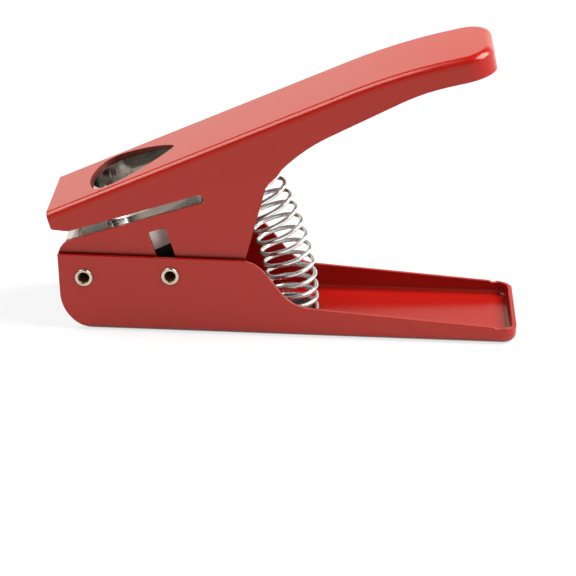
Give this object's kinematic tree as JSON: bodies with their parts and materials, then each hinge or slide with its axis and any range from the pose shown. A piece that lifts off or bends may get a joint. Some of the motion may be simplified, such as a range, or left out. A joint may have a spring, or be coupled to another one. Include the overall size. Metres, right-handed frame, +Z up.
{
  "type": "guitar pick punch",
  "caption": "Squeeze-handled hand punch that cuts guitar picks, with a folded lever, a channel base, a driven punch and a return spring.",
  "frame": {"origin": "under the middle of the tool, on the surface it stands on", "axes": "+X runs along the tool towards the handle end, with the cutting nose at -X; +Y runs across it, away from the side that the picture shows; +Z is up"},
  "size_m": [0.1752, 0.049, 0.1108],
  "materials": {
    "red_enamel": "glossy baked enamel on 1.5 mm steel sheet",
    "bright_nickel": "bright nickel plate",
    "zinc_wire": "bright zinc-plated spring wire",
    "zinc_steel": "zinc-plated turned steel",
    "bronze": "plain bearing bronze",
    "black_nylon": "moulded nylon",
    "ground_steel": "ground and plated hard steel",
    "dark_steel": "blackened steel"
  },
  "bodies": {
    "base": {"base_channel": "red_enamel", "front_pivot_rivet": "bright_nickel", "rear_drive_rivet": "bright_nickel", "near_drive_washer": "zinc_steel", "far_drive_washer": "zinc_steel", "near_drive_spacer": "zinc_steel", "far_drive_spacer": "zinc_steel", "spring_floor_seat": "black_nylon", "spring": "zinc_wire"},
    "lever": {"lever_shell": "red_enamel", "die_block": "ground_steel", "guide_plate": "ground_steel", "slit_spacer": "ground_steel", "cartridge_screws": "dark_steel", "cartridge_dowels": "dark_steel", "pivot_spacer_tube": "zinc_steel", "near_pivot_bush": "bronze", "far_pivot_bush": "bronze", "spring_top_seat": "black_nylon"},
    "punch": {"punch": "ground_steel", "punch_carrier": "dark_steel", "punch_screws": "dark_steel", "punch_dowel": "dark_steel"}
  },
  "joints": [
    {"name": "lever_pivot", "type": "hinge", "parent": "base", "child": "lever", "pos_m": [-0.07343, 0, 0.0208], "axis": [0, 1, 0], "range_deg": [0, 25], "stiffness_Nm_per_rad": 3.2, "springref_deg": -10.89, "deforming": ["spring"]},
    {"name": "punch_slide", "type": "slide", "parent": "lever", "child": "punch", "axis": [-0.3173, 0, 0.9483], "range_m": [0, 0.01386]}
  ],
  "couplings": [
    {"joint": "punch_slide", "follows": "lever_pivot", "m_per_rad": 0.03175}
  ]
}
